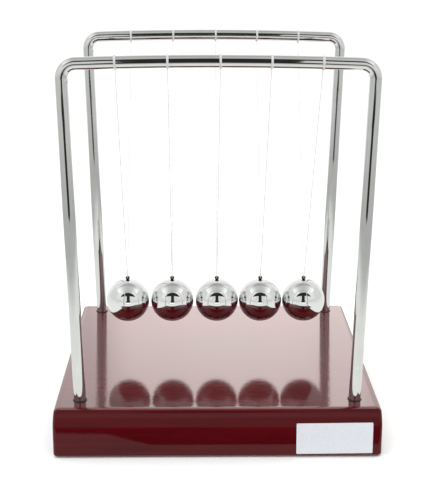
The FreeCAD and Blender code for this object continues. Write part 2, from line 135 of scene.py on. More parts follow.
board_low, board_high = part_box("base_board")
BOARD_TOP = board_high.z
BOARD_HALF = board_high.x
frame_low, frame_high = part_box("front_frame")
ROD_RADIUS = (frame_high.y - frame_low.y) / 2
FRAME_Y = middle("rear_frame").y
BAR_Z = frame_high.z - ROD_RADIUS
ball_low, ball_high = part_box("ball_1")
BALL_RADIUS = (ball_high.x - ball_low.x) / 2
BALL_Z = ball_low.z + BALL_RADIUS
BALL_X = {number: middle(f"ball_{number}").x for number in BALLS}
eye_low, eye_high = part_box("ball_eye_1")
EYE_RADIUS = (eye_high.x - eye_low.x) / 2
EYE_TOP = eye_high.z
EYE_LOW = EYE_TOP - EYE_HEIGHT
EYE_HOLE_Z = (EYE_TOP + EYE_LOW) / 2


# ---------------------------------------------------------------- mesh helpers

def finish_mesh(name, builder):
    """A new object from a bmesh, shaded smooth apart from its sharp edges."""
    bmesh.ops.recalc_face_normals(builder, faces=builder.faces)
    mesh = bpy.data.meshes.new(name)
    builder.to_mesh(mesh)
    builder.free()
    mesh.shade_smooth()
    mesh.set_sharp_from_angle(angle=SHARP_ANGLE)
    piece = bpy.data.objects.new(name, mesh)
    bpy.context.scene.collection.objects.link(piece)
    return piece


def bridge_rings(builder, rings, closed=False):
    """Quads between neighbouring rings of vertices, each ring closed on itself."""
    pairs = list(zip(rings, rings[1:]))
    if closed:
        pairs.append((rings[-1], rings[0]))
    for one, two in pairs:
        count = len(one)
        for i in range(count):
            j = (i + 1) % count
            builder.faces.new((one[i], one[j], two[j], two[i]))


def lathe(name, profile, segments, placement=Matrix.Identity(4), closed=False):
    """Turn a profile of (radius, height) about Z; a radius of 0 is a pole."""
    builder = bmesh.new()
    rings = []
    poles = []
    for radius, height in profile:
        if radius == 0:
            poles.append(builder.verts.new((0, 0, height)))
            continue
        rings.append([builder.verts.new((radius * math.cos(2 * math.pi * i / segments),
                                         radius * math.sin(2 * math.pi * i / segments),
                                         height)) for i in range(segments)])
    bridge_rings(builder, rings, closed)
    if poles:
        for pole, ring in zip(poles, (rings[0], rings[-1])):
            for i in range(segments):
                builder.faces.new((ring[i], ring[(i + 1) % segments], pole))
    bmesh.ops.transform(builder, matrix=placement, verts=builder.verts)
    return finish_mesh(name, builder)


def tube_rings(builder, points, radii, sides, normal, swell=None, closed=False):
    """Rings of a tube along a path, their frame carried along without twist. radii is one
    radius or a list, and swell(index, angle) is what the surface stands proud of it."""
    rings = []
    count = len(points)
    for i, point in enumerate(points):
        before = points[i - 1] if i or closed else point
        after = points[(i + 1) % count] if i + 1 < count or closed else point
        tangent = (after - before).normalized()
        normal = (normal - tangent * normal.dot(tangent)).normalized()
        other = tangent.cross(normal)
        radius = radii[i] if isinstance(radii, list) else radii
        ring = []
        for k in range(sides):
            angle = 2 * math.pi * k / sides
            reach = radius + (swell(i, angle) if swell else 0)
            offset = normal * math.cos(angle) + other * math.sin(angle)
            ring.append(builder.verts.new(point + offset * reach))
        rings.append(ring)
    bridge_rings(builder, rings, closed)
    if not closed:
        builder.faces.new(rings[0])
        builder.faces.new(rings[-1])
    return rings


def arc_points(center, radius, start, end, steps, axis_one, axis_two):
    """Points on an arc in the plane of two axes, angles from axis_one towards axis_two."""
    angles = [start + (end - start) * i / steps for i in range(steps + 1)]
    return [center + (axis_one * math.cos(a) + axis_two * math.sin(a)) * radius
            for a in angles]


def carve(piece, cutters):
    """Cut the cutters out of a piece for good, then remove them."""
    for cutter in cutters:
        tool = piece.modifiers.new("carve", "BOOLEAN")
        tool.operation = "DIFFERENCE"
        tool.solver = "EXACT"
        tool.object = cutter
    bpy.context.view_layer.update()
    result = bpy.data.meshes.new_from_object(
        piece.evaluated_get(bpy.context.evaluated_depsgraph_get()))
    piece.modifiers.clear()
    piece.data = result
    for cutter in cutters:
        bpy.data.objects.remove(cutter)
    result.shade_smooth()
    result.set_sharp_from_angle(angle=DRILLED_SHARP_ANGLE)


def dress(piece, body, slot, material, *nodes):
    """Material, body and the CAD nodes that a piece stands for; slot is not used."""
    piece.data.materials.clear()
    piece.data.materials.append(material)
    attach(piece, body)
    if nodes:
        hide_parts(*nodes)
    return piece


# ---------------------------------------------------------------- materials

def node_material(name, **values):
    """A material with its Principled shader's constant inputs set; returns the three parts."""
    material = bpy.data.materials.new(name)
    material.use_nodes = True
    tree = material.node_tree
    shader = tree.nodes["Principled BSDF"]
    for label, value in values.items():
        socket = shader.inputs[label.replace("_", " ")]
        socket.default_value = (*value, 1) if isinstance(value, tuple) else value
    return material, tree, shader


def textured(tree, kind, stretch=(1, 1, 1), **values):
    """A texture node in the cradle's frame, its pattern finer along an axis with more stretch."""
    place = tree.nodes.new("ShaderNodeTexCoord")
    mapping = tree.nodes.new("ShaderNodeMapping")
    mapping.inputs["Scale"].default_value = stretch
    texture = tree.nodes.new(kind)
    tree.links.new(place.outputs["Object"], mapping.inputs["Vector"])
    tree.links.new(mapping.outputs["Vector"], texture.inputs["Vector"])
    for label, value in values.items():
        texture.inputs[label].default_value = value
    return texture


def ramp(tree, source, stops):
    """A colour ramp over a value: stops are (position, colour)."""
    node = tree.nodes.new("ShaderNodeValToRGB")
    tree.links.new(source, node.inputs["Fac"])
    elements = node.color_ramp.elements
    while len(elements) < len(stops):
        elements.new(0.5)
    for element, (position, colour) in zip(elements, stops):
        element.position = position
        element.color = (*colour, 1)
    return node.outputs["Color"]


def spread(tree, source, low, high):
    """Map NOISE_RANGE of a texture's value to low..high."""
    node = tree.nodes.new("ShaderNodeMapRange")
    tree.links.new(source, node.inputs["Value"])
    for label, value in (("From Min", NOISE_RANGE[0]), ("From Max", NOISE_RANGE[1]),
                         ("To Min", low), ("To Max", high)):
        node.inputs[label].default_value = value
    return node.outputs["Result"]


def blend_colours(tree, mode, amount, one, two):
    """Mix two colours; amount is a number or a socket."""
    node = tree.nodes.new("ShaderNodeMix")
    node.data_type = "RGBA"
    node.blend_type = mode
    factor, first, second = (node.inputs[i] for i in (0, 6, 7))
    for socket, value in ((factor, amount), (first, one), (second, two)):
        if isinstance(value, bpy.types.NodeSocket):
            tree.links.new(value, socket)
        elif isinstance(value, tuple):
            socket.default_value = (*value, 1)
        else:
            socket.default_value = value
    return node.outputs[2]


def add_bump(tree, shader, source, strength, distance, under=None):
    """Bump from a height value, on top of another bump if one is given."""
    node = tree.nodes.new("ShaderNodeBump")
    node.inputs["Strength"].default_value = strength
    node.inputs["Distance"].default_value = distance
    tree.links.new(source, node.inputs["Height"])
    if under:
        tree.links.new(under, node.inputs["Normal"])
    tree.links.new(node.outputs["Normal"], shader.inputs["Normal"])
    return node.outputs["Normal"]


def lacquered_wood():
    """Deep maroon stained wood under a clear coat: long grain along X, mottling, fine pores."""
    material, tree, shader = node_material(
        "lacquered_wood", Roughness=0.42, IOR=1.45, Coat_Weight=1.0, Coat_Roughness=0.08,
        Coat_IOR=1.30)
    shader.inputs["Specular IOR Level"].default_value = 0.010
    grain = textured(tree, "ShaderNodeTexNoise", stretch=(9, 90, 150), Scale=1.6, Detail=7,
                     Roughness=0.62, Distortion=0.6)
    mottle = textured(tree, "ShaderNodeTexNoise", stretch=(22, 34, 60), Scale=1, Detail=4)
    pores = textured(tree, "ShaderNodeTexNoise", stretch=(70, 1500, 1500), Scale=1, Detail=3)
    stain = ramp(tree, grain.outputs["Fac"], [
        (0.30, (0.056, 0.0010, 0.0028)), (0.50, (0.070, 0.0014, 0.0036)),
        (0.72, (0.084, 0.0022, 0.0052))])
    cloud = ramp(tree, mottle.outputs["Fac"], [
        (0.35, (0.70, 0.55, 0.60)), (0.65, (1.0, 1.0, 1.0))])
    speck = ramp(tree, pores.outputs["Fac"], [
        (0.30, (0.62, 0.55, 0.55)), (0.46, (1.0, 1.0, 1.0))])
    colour = blend_colours(tree, "MULTIPLY", 0.35, stain, cloud)
    colour = blend_colours(tree, "MULTIPLY", 0.35, colour, speck)
    tree.links.new(colour, shader.inputs["Base Color"])
    peel = textured(tree, "ShaderNodeTexNoise", Scale=900, Detail=2)
    orange_peel = add_bump(tree, shader, peel.outputs["Fac"], 0.16, 0.10 * MM)
    tree.links.new(orange_peel, shader.inputs["Coat Normal"])
    return material


def chrome(name, colour, dull, bright, wave_depth):
    """Plated steel: a soft waviness, faint wipe marks and a slightly uneven polish."""
    material, tree, shader = node_material(name, Base_Color=colour, Metallic=1.0)
    haze = textured(tree, "ShaderNodeTexNoise", Scale=120, Detail=5)
    wipes = textured(tree, "ShaderNodeTexNoise", stretch=(1, 1, 0.12), Scale=2600, Detail=2)
    tone = blend_colours(tree, "MULTIPLY", 0.5, colour,
                         ramp(tree, haze.outputs["Fac"], [(0.3, (0.90, 0.90, 0.90)),
                                                          (0.6, (1.0, 1.0, 1.0))]))
    tree.links.new(tone, shader.inputs["Base Color"])
    tree.links.new(spread(tree, haze.outputs["Fac"], bright, dull), shader.inputs["Roughness"])
    wave = textured(tree, "ShaderNodeTexNoise", Scale=90, Detail=1)
    low = add_bump(tree, shader, wave.outputs["Fac"], 0.35, wave_depth)
    add_bump(tree, shader, wipes.outputs["Fac"], 0.02, 0.01 * MM, under=low)
    return material


def dark_pin():
    """Blackened steel, worn a little brighter in patches."""
    material, tree, shader = node_material("dark_pin", Metallic=0.8)
    wear = textured(tree, "ShaderNodeTexNoise", Scale=1400, Detail=4)
    tree.links.new(ramp(tree, wear.outputs["Fac"], [
        (0.45, (0.012, 0.012, 0.013)), (0.75, (0.06, 0.06, 0.062))]),
        shader.inputs["Base Color"])
    tree.links.new(spread(tree, wear.outputs["Fac"], 0.28, 0.5), shader.inputs["Roughness"])
    add_bump(tree, shader, wear.outputs["Fac"], 0.2, 0.02 * MM)
    return material


def nylon():
    """Milky monofilament that lets a little light through, with a paler streak along it."""
    material, tree, shader = node_material("nylon_line", IOR=1.53)
    shader.inputs["Transmission Weight"].default_value = 0.15
    streak = textured(tree, "ShaderNodeTexNoise", stretch=(1, 1, 0.15), Scale=2500, Detail=2)
    tree.links.new(ramp(tree, streak.outputs["Fac"], [
        (0.3, (0.63, 0.64, 0.65)), (0.7, (0.75, 0.76, 0.77))]), shader.inputs["Base Color"])
    tree.links.new(spread(tree, streak.outputs["Fac"], 0.15, 0.35), shader.inputs["Roughness"])
    return material


def bush_plastic():
    """Matt black moulded plastic with a fine grain."""
    material, tree, shader = node_material("black_bush")
    grain = textured(tree, "ShaderNodeTexNoise", Scale=3500, Detail=3)
    tree.links.new(ramp(tree, grain.outputs["Fac"], [
        (0.35, (0.008, 0.007, 0.007)), (0.7, (0.022, 0.019, 0.019))]),
        shader.inputs["Base Color"])
    tree.links.new(spread(tree, grain.outputs["Fac"], 0.35, 0.55), shader.inputs["Roughness"])
    add_bump(tree, shader, grain.outputs["Fac"], 0.25, 0.02 * MM)
    return material


def felt():
    """Charcoal felt: tangled fibres and a soft sheen."""
    material, tree, shader = node_material("felt", Sheen_Weight=0.6, Sheen_Roughness=0.5)
    fibre = textured(tree, "ShaderNodeTexVoronoi", stretch=(1, 1.8, 1), Scale=2600)
    clump = textured(tree, "ShaderNodeTexNoise", Scale=900, Detail=6, Distortion=2.0)
    mixed = blend_colours(tree, "MIX", 0.5, fibre.outputs["Distance"], clump.outputs["Fac"])
    tree.links.new(ramp(tree, mixed, [
        (0.25, (0.010, 0.010, 0.011)), (0.75, (0.055, 0.053, 0.055))]),
        shader.inputs["Base Color"])
    tree.links.new(spread(tree, mixed, 0.85, 1.0), shader.inputs["Roughness"])
    add_bump(tree, shader, mixed, 0.8, 0.12 * MM)
    return material


def label_paper():
    """Satin label paper: a cool white with fine fibres under a thin film."""
    material, tree, shader = node_material(
        "label_paper", Coat_Weight=0.25, Coat_Roughness=0.25)
    fibre = textured(tree, "ShaderNodeTexNoise", stretch=(1, 1, 1.6), Scale=1500, Detail=5)
    tree.links.new(ramp(tree, fibre.outputs["Fac"], [
        (0.3, (0.57, 0.59, 0.64)), (0.7, (0.64, 0.66, 0.70))]), shader.inputs["Base Color"])
    tree.links.new(spread(tree, fibre.outputs["Fac"], 0.38, 0.52), shader.inputs["Roughness"])
    add_bump(tree, shader, fibre.outputs["Fac"], 0.12, 0.02 * MM)
    return material


def zinc_steel():
    """Zinc-plated steel with the mottled spangle of cheap screws."""
    material, tree, shader = node_material("zinc_steel", Metallic=1.0)
    spangle = textured(tree, "ShaderNodeTexVoronoi", Scale=1100)
    tree.links.new(ramp(tree, spangle.outputs["Distance"], [
        (0.1, (0.42, 0.43, 0.44)), (0.6, (0.58, 0.59, 0.60))]), shader.inputs["Base Color"])
    tree.links.new(spread(tree, spangle.outputs["Distance"], 0.28, 0.45),
                   shader.inputs["Roughness"])
    add_bump(tree, shader, spangle.outputs["Distance"], 0.15, 0.02 * MM)
    return material


# ---------------------------------------------------------------- board

def crown(height):
    """How far the board's side leans in at a height: nothing below, then a gentle curve."""
    share = (height - (BOARD_TOP - CROWN_DROP)) / CROWN_DROP
    return CROWN_INSET * max(share, 0) ** CROWN_POWER


def board_profile():
    """(inset, height) up the board's side: a rounded lower edge, the upright, the crown, and
    an elliptical top edge that meets the crown at the crown's own lean."""
    low = board_low.z
    low_steps, crown_steps, edge_steps = 6, 14, 16
    points = [(LOW_EDGE + 1.5 * MM, low)]
    for step in range(low_steps + 1):
        angle = math.pi / 2 * (1 - step / low_steps)
        points.append((LOW_EDGE * (1 - math.cos(angle)), low + LOW_EDGE * (1 - math.sin(angle))))
    start = BOARD_TOP - CROWN_DROP
    lean = 0
    nearby = 0.01 * MM
    for _ in range(5):
        join = BOARD_TOP - EDGE_DROP * (1 - math.sin(lean))
        slope = (crown(join) - crown(join - nearby)) / nearby
        lean = math.atan(slope * EDGE_DROP / EDGE_RUN)
    points += [(0, low + 3 * MM), (0, start - 2 * MM), (0, start)]
    for step in range(1, crown_steps):
        height = start + (join - start) * step / crown_steps
        points.append((crown(height), height))
    center = crown(join) + EDGE_RUN * math.cos(lean)
    for step in range(edge_steps + 1):
        angle = lean + (math.pi / 2 - lean) * step / edge_steps
        points.append((center - EDGE_RUN * math.cos(angle),
                       BOARD_TOP - EDGE_DROP * (1 - math.sin(angle))))
    points.append((center + 0.6 * MM, BOARD_TOP))
    return points


def square_ring(builder, inset, height):
    """A rounded square at a height, in by inset from the board's widest outline."""
    radius = max(CORNER_RADIUS - inset * CORNER_EASE, 0.3 * MM)
    reach = BOARD_HALF - inset - radius
    steps = 8
    ring = []
    for quarter, (sx, sy) in enumerate(((1, 1), (-1, 1), (-1, -1), (1, -1))):
        for step in range(steps + 1):
            angle = (quarter + step / steps) * math.pi / 2
            ring.append(builder.verts.new((sx * reach + radius * math.cos(angle),
                                           sy * reach + radius * math.sin(angle), height)))
    return ring


def leg_placement(side, end):
    """Frame on the board's top face at one corner, leaning with the leg."""
    corner = Vector((SIDES[side] * FOOT_X, ENDS[end] * FRAME_Y, BOARD_TOP))
    return Matrix.Translation(corner) @ Matrix.Rotation(SIDES[side] * SPLAY, 4, "Y")


def build_board(material):
    """The board: softly crowned edges, with a stepped socket drilled at each corner."""
    builder = bmesh.new()
    rings = [square_ring(builder, inset, height) for inset, height in board_profile()]
    bridge_rings(builder, rings)
    builder.faces.new(rings[0])
    builder.faces.new(rings[-1])
    board = finish_mesh("board_lacquered", builder)
    over = 1 * MM
    low = board_low.z - BOARD_TOP
    shoulder = low + RECESS_DEPTH
    drill = [(0, low - over), (RECESS_RADIUS, low - over), (RECESS_RADIUS, shoulder),
             (SCREW_HOLE_RADIUS, shoulder), (SCREW_HOLE_RADIUS, -LEG_DEPTH),
             (BUSH_BORE, -LEG_DEPTH), (BUSH_BORE, -BUSH_DEPTH), (BUSH_SEAT, -BUSH_DEPTH),
             (BUSH_SEAT, over), (0, over)]
    drills = [lathe(f"drill_{end}_{side}", drill, 48, leg_placement(side, end))
              for end in ENDS for side in SIDES]
    carve(board, drills)
    return dress(board, "stand", "lacquered_wood", material, "base_board")


def build_bushes(material):
    """Moulded rings round the legs, with a rolled lip above the board."""
    proud, flattened, steps = 0.35 * MM, 0.8, 8
    lip = (BUSH_RADIUS - BUSH_BORE) / 2
    profile = [(BUSH_BORE, -BUSH_DEPTH), (BUSH_RADIUS, -BUSH_DEPTH), (BUSH_RADIUS, 0)]
    crest = Vector(((BUSH_RADIUS + BUSH_BORE) / 2, proud - lip * flattened))
    for step in range(steps + 1):
        angle = math.pi * step / steps
        profile.append((crest.x + lip * math.cos(angle),
                        crest.y + lip * flattened * math.sin(angle)))
    profile.append((BUSH_BORE, -1 * MM))
    for end in ENDS:
        for side in SIDES:
            bush = lathe(f"bush_{end}_{side}", profile, 64, leg_placement(side, end), closed=True)
            dress(bush, "stand", "black_bush", material, f"leg_bush_{end}_{side}")


def build_pads(material):
    """Felt discs with a soft, uneven edge."""
    chance = random.Random(11)
    for end in ENDS:
        for side in SIDES:
            node = f"base_pad_{end}_{side}"
            low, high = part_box(node)
            radius = (high.x - low.x) / 2
            profile = [(0, low.z), (radius * 0.5, low.z), (radius * 0.93, low.z),
                       (radius * 0.985, low.z + 0.12 * MM), (radius, low.z + 0.35 * MM),
                       (radius * 0.985, high.z - 0.12 * MM), (radius * 0.94, high.z),
                       (radius * 0.5, high.z), (0, high.z)]
            centre = middle(node)
            pad = lathe(f"felt_{end}_{side}", profile, 72,
                        Matrix.Translation((centre.x, centre.y, 0)))
            for vertex in pad.data.vertices:
                flat = Vector((vertex.co.x - centre.x, vertex.co.y - centre.y, 0))
                if flat.length > radius * 0.9:
                    vertex.co -= flat.normalized() * chance.uniform(0, 0.08) * MM
            dress(pad, "stand", "felt", material, node)


def build_label(material):
    """The paper label on the front edge: it follows the crown, is stuck on a little askew and
    has rounded corners."""
    low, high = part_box("front_label")
    trim = Vector((LABEL_TRIM, 0, LABEL_TRIM))
    low, high = low + trim, high - trim
    centre = (low + high) / 2
    askew = Matrix.Rotation(-LABEL_TURN, 3, "Y")
    columns, rows = 36, 24
    builder = bmesh.new()
    layers = []
    for lift in (0.02 * MM, LABEL_THICKNESS):
        grid = []
        for j in range(rows + 1):
            z = low.z + (high.z - low.z) * j / rows
            pull = LABEL_CORNER - min(z - low.z, high.z - z, LABEL_CORNER)
            side = LABEL_CORNER - math.sqrt(max(LABEL_CORNER ** 2 - pull ** 2, 0))
            left, right = low.x + side, high.x - side
            row = []
            for i in range(columns + 1):
                spot = Vector((left + (right - left) * i / columns, centre.y, z))
                spot = centre + askew @ (spot - centre)
                spot.y = -BOARD_HALF + crown(spot.z) - lift
                row.append(builder.verts.new(spot))
            grid.append(row)
        layers.append(grid)
    for grid in layers:
        for one, two in zip(grid, grid[1:]):
            for i in range(columns):
                builder.faces.new((one[i], one[i + 1], two[i + 1], two[i]))
    inner, outer = (rim_of(grid) for grid in layers)
    bridge_rings(builder, [inner, outer])
    label = finish_mesh("label_front", builder)
    dress(label, "stand", "label_paper", material, "front_label")


def rim_of(grid):
    """The outer vertices of a grid, in order round it."""
    left = [row[0] for row in grid[1:-1]]
    right = [row[-1] for row in grid[1:-1]]
    return grid[0] + right + grid[-1][::-1] + left[::-1]


# ---------------------------------------------------------------- frames

def rod_route():
    """Axis of the right half of a U frame in XZ, from the leg's end up to the bar's middle."""
    along = Vector((math.sin(SPLAY), 0, math.cos(SPLAY)))
    inward = Vector((-along.z, 0, along.x))
    foot = Vector((FOOT_X, 0, BOARD_TOP))
    arch = Vector((0, 0, BAR_Z - ARCH_RADIUS))
    start = foot + inward * BEND_RADIUS - arch
    half = start.dot(along)
    reach = ARCH_RADIUS - BEND_RADIUS
    travel = -half + math.sqrt(half ** 2 - start.length_squared + reach ** 2)
    bend = foot + inward * BEND_RADIUS + along * travel
    leg_end = foot - along * LEG_DEPTH
    leg_top = foot + along * travel
    leg_steps, turn_steps, bar_steps = 60, 40, 60
    leg = [leg_end.lerp(leg_top, 1 - (1 - step / leg_steps) ** 2)
           for step in range(leg_steps + 1)]
    radial = (bend - arch).normalized()
    turn_end = math.atan2(radial.z, radial.x)
    turn = arc_points(bend, BEND_RADIUS, -SPLAY, turn_end, turn_steps, X_AXIS, UP)
    bar = arc_points(arch, ARCH_RADIUS, turn_end, math.pi / 2, bar_steps, X_AXIS, UP)
    return leg, turn, bar


def build_frame(end, material):
    """One U frame, with the marks that bending leaves in a rod: faint ripples and flattening
    in both bends, and a pinched bead below the left bend."""
    leg, turn, bar = rod_route()
    half = leg + turn[1:] + bar[1:]
    mirrored = [Vector((-p.x, p.y, p.z)) for p in reversed(half[:-1])]
    shift = Vector((0, ENDS[end] * FRAME_Y, 0))
    points = [p + shift for p in half + mirrored]
    first, last = len(leg) - 1, len(leg) + len(turn) - 2
    total = len(points) - 1

    def bead(index, angle):
        """Swell of the inner side of the left leg, a little below its bend."""
        if index < total / 2:
            return 0
        below = (points[index] - points[total - first]).dot(-UP)
        rise = BEAD_HEIGHT * math.exp(-((below - BEAD_BELOW_BEND) / BEAD_WIDTH) ** 2)
        return rise * max(math.sin(angle), 0) ** 4

    def bend_mark(index, angle):
        """Ripples on the inner side of a bend, and the bend's slight flattening."""
        place = min(index, total - index)
        if place <= first:
            return bead(index, angle)
        if place > last:
            return 0
        share = (place - first) / (last - first)
        inner = max(math.sin(angle), 0) ** 3
        ripple = math.sin(share * 2 * math.pi * RIPPLES) * RIPPLE_HEIGHT
        flat = -0.05 * MM * abs(math.sin(angle)) + 0.04 * MM * math.cos(angle) ** 2
        return math.sin(math.pi * share) * (inner * ripple + flat)

    builder = bmesh.new()
    tube_rings(builder, points, ROD_RADIUS, 72, Y_AXIS, swell=bend_mark)
    rod = finish_mesh(f"{end}_rod", builder)
    return dress(rod, "stand", "chrome_rod", material, f"{end}_frame")


# ---------------------------------------------------------------- balls and lines

def build_ball(number, material):
    """A polished ball with its countersunk pin bore."""
    start = math.asin((PIN_BORE + COUNTERSINK) / BALL_RADIUS)
    bottom = BALL_Z + BALL_RADIUS - PIN_DEPTH
    rim = BALL_Z + BALL_RADIUS * math.cos(start)
    profile = [(0, bottom), (PIN_BORE, bottom), (PIN_BORE, rim - COUNTERSINK)]
    steps = 110
    for step in range(steps):
        angle = start + (math.pi - start) * step / steps
        profile.append((BALL_RADIUS * math.sin(angle), BALL_Z + BALL_RADIUS * math.cos(angle)))
    profile.append((0, BALL_Z - BALL_RADIUS))
    ball = lathe(f"steel_ball_{number}", profile, 160, Matrix.Translation((BALL_X[number], 0, 0)))
    return dress(ball, f"swing_{number}", "chrome_ball", material, f"ball_{number}")


def build_eye(number, material):
    """A small turned pin: a domed head on a neck, with a cross hole for the line."""
    low = BALL_Z + BALL_RADIUS
    flat, shoulder, steps = 0.45, 0.62, 6
    profile = [(0, low - PIN_DEPTH), (PIN_RADIUS, low - PIN_DEPTH),
               (PIN_RADIUS, low - 0.05 * MM), (PIN_NECK, low),
               (PIN_NECK, EYE_LOW + EYE_HEIGHT * 0.06),
               (EYE_RADIUS * 0.86, EYE_LOW + EYE_HEIGHT * 0.14),
               (EYE_RADIUS, EYE_LOW + EYE_HEIGHT * 0.26),
               (EYE_RADIUS, EYE_LOW + EYE_HEIGHT * shoulder)]
    for step in range(1, steps + 1):
        angle = math.pi / 2 * step / steps
        profile.append((EYE_RADIUS * (flat + (1 - flat) * math.cos(angle)),
                        EYE_LOW + EYE_HEIGHT * (shoulder + (1 - shoulder) * math.sin(angle))))
    profile.append((0, EYE_TOP))
    spot = Matrix.Translation((BALL_X[number], 0, 0))
    eye = lathe(f"eye_pin_{number}", profile, 64, spot)
    reach, mouth, throat = 1.4 * MM, 0.5 * MM, 0.75 * MM
    flare = [(0, -reach), (mouth, -reach), (EYE_HOLE, -throat),
             (EYE_HOLE, throat), (mouth, reach), (0, reach)]
    across = spot @ Matrix.Translation((0, 0, EYE_HOLE_Z)) @ Matrix.Rotation(math.pi / 2, 4, "X")
    carve(eye, [lathe(f"eye_drill_{number}", flare, 32, across)])
    dress(eye, f"swing_{number}", "dark_pin", material, f"ball_eye_{number}")


def bar_height(x):
    """Height of a bar's axis at x, on its arch."""
    return BAR_Z - ARCH_RADIUS + math.sqrt(ARCH_RADIUS ** 2 - x ** 2)


def to_eye(number, end):
    """Unit vector from a bar's axis towards the ball's eye."""
    x = BALL_X[number]
    return (Vector((x, 0, EYE_HOLE_Z))
            - Vector((x, ENDS[end] * FRAME_Y, bar_height(x)))).normalized()


def half_line(number):
    """The line's rear half in YZ: along the eye's hole, round its lip and up to the knot."""
    x = BALL_X[number]
    low = Vector((x, 0, EYE_HOLE_Z))
    turn_start = Vector((x, EYE_RADIUS, EYE_HOLE_Z))
    centre = turn_start + UP * LINE_BEND
    knot = (Vector((x, FRAME_Y, bar_height(x)))
            + to_eye(number, "rear") * (KNOT_PATH + KNOT_CLEARANCE))
    away = knot - centre
    tilt = math.atan2(away.z, away.y) - math.acos(LINE_BEND / away.length)
    in_hole = [low.lerp(turn_start, step / 4) for step in range(4)]
    bend = arc_points(centre, LINE_BEND, -math.pi / 2, tilt, 12, Y_AXIS, UP)
    strand = [bend[-1].lerp(knot, step / 40) for step in range(1, 41)]
    return in_hole + bend + strand


def build_line(number, material):
    """The V line through the eye, from knot to knot."""
    rear = half_line(number)
    front = [Vector((p.x, -p.y, p.z)) for p in reversed(rear[1:])]
    builder = bmesh.new()
    tube_rings(builder, front + rear, LINE_RADIUS, 14, X_AXIS)
    line = finish_mesh(f"nylon_v_{number}", builder)
    dress(line, f"swing_{number}", "nylon_line", material, f"suspension_line_{number}")


def build_tie(number, end, material):
    """Three turns of line round the bar, an overhand knot below them and its cut tail."""
    x = BALL_X[number]
    centre = Vector((x, ENDS[end] * FRAME_Y, bar_height(x)))
    tilt = math.asin(x / ARCH_RADIUS)
    bar = Vector((math.cos(tilt), 0, -math.sin(tilt)))
    down = to_eye(number, end)
    down = (down - bar * down.dot(bar)).normalized()
    side = bar.cross(down)
    builder = bmesh.new()
    turns, per_turn, run_in = 3, 48, 0.12
    helix = []
    for step in range(turns * per_turn + 1):
        share = step / per_turn
        near_end = max(0, 1 - min(share, turns - share) / run_in)
        reach = WRAP_PATH + (KNOT_PATH - WRAP_PATH) * near_end ** 2
        angle = 2 * math.pi * share
        helix.append(centre + bar * (share - turns / 2) * WRAP_PITCH * (1 - near_end * 0.6)
                     + (down * math.cos(angle) + side * math.sin(angle)) * reach)
    tube_rings(builder, helix, WRAP_RADIUS, 12, down)
    knot = centre + down * KNOT_PATH
    size, steps = 0.098 * MM, 72
    trefoil = []
    for step in range(steps):
        angle = 2 * math.pi * step / steps
        trefoil.append(knot + bar * size * (math.sin(angle) + 2 * math.sin(2 * angle))
                       + down * size * (math.cos(angle) - 2 * math.cos(2 * angle))
                       - side * size * 1.5 * math.sin(3 * angle))
    tube_rings(builder, trefoil, LINE_RADIUS, 12, side, closed=True)
    outward = Vector((0, ENDS[end], 0))
    tail_way = (outward * 0.9 + bar * (0.5 if number % 2 else -0.4) - UP * 0.35).normalized()
    shares = [step / 6 for step in range(7)]
    tail = [knot + tail_way * (0.2 + 0.75 * share) * MM - UP * share ** 2 * 0.12 * MM
            for share in shares]
    tube_rings(builder, tail, LINE_RADIUS * 0.95, 12, bar)
    tie = finish_mesh(f"line_tie_{end}_{number}", builder)
    dress(tie, "stand", "nylon_line", material, f"line_loop_{end}_{number}")


# ---------------------------------------------------------------- studio
# Cards are placed in metres. Of two that lie on the floor, the higher hides the lower, unless
# it glows for some pieces only: then it adds to what those pieces see.

def fade_level(tree, axes, stops):
    """A grey level from the distance along the given axes: stops are (metres, level)."""
    place = tree.nodes.new("ShaderNodeTexCoord")
    mask = tree.nodes.new("ShaderNodeVectorMath")
    mask.operation = "MULTIPLY"
    mask.inputs[1].default_value = axes
    span = tree.nodes.new("ShaderNodeVectorMath")
    span.operation = "LENGTH"
    tree.links.new(place.outputs["Object"], mask.inputs[0])
    tree.links.new(mask.outputs["Vector"], span.inputs[0])
    return ramp(tree, span.outputs["Value"], [(reach, (level,) * 3) for reach, level in stops])


def emitter(name, colour, strength, fades=(), clear=False):
    """A plain glowing material for a card, dimmed by each fade (axes, stops) and seen through
    if it is clear."""
    material = bpy.data.materials.new(name)
    material.use_nodes = True
    tree = material.node_tree
    tree.nodes.clear()
    glow = tree.nodes.new("ShaderNodeEmission")
    glow.inputs["Color"].default_value = (*colour, 1)
    glow.inputs["Strength"].default_value = strength
    output = tree.nodes.new("ShaderNodeOutputMaterial")
    surface = glow.outputs["Emission"]
    if clear:
        through = tree.nodes.new("ShaderNodeBsdfTransparent")
        both = tree.nodes.new("ShaderNodeAddShader")
        tree.links.new(surface, both.inputs[0])
        tree.links.new(through.outputs["BSDF"], both.inputs[1])
        surface = both.outputs["Shader"]
    tree.links.new(surface, output.inputs["Surface"])
    tone = colour
    for axes, stops in fades:
        tone = blend_colours(tree, "MULTIPLY", 1.0, tone, fade_level(tree, axes, stops))
        tree.links.new(tone, glow.inputs["Color"])
    return material


def card(name, corners, colour, strength, fades=(), only=(), centre=(0, 0, 0)):
    """A studio card that only shows in reflections. With pieces given as only, it glows for
    those pieces alone and is clear to the rest."""
    mesh = bpy.data.meshes.new(name)
    mesh.from_pydata([Vector(c) for c in corners], [], [list(range(len(corners)))])
    mesh.materials.append(emitter(name, colour, strength, fades, bool(only)))
    piece = bpy.data.objects.new(name, mesh)
    piece.location = centre
    bpy.context.scene.collection.objects.link(piece)
    piece.visible_camera = False
    piece.visible_diffuse = False
    piece.visible_transmission = False
    piece.visible_shadow = False
    piece.visible_volume_scatter = False
    if only:
        shown = bpy.data.collections.new(f"{name}_shown_in")
        for seen in only:
            shown.objects.link(seen)
        piece.light_linking.receiver_collection = shown
    return piece


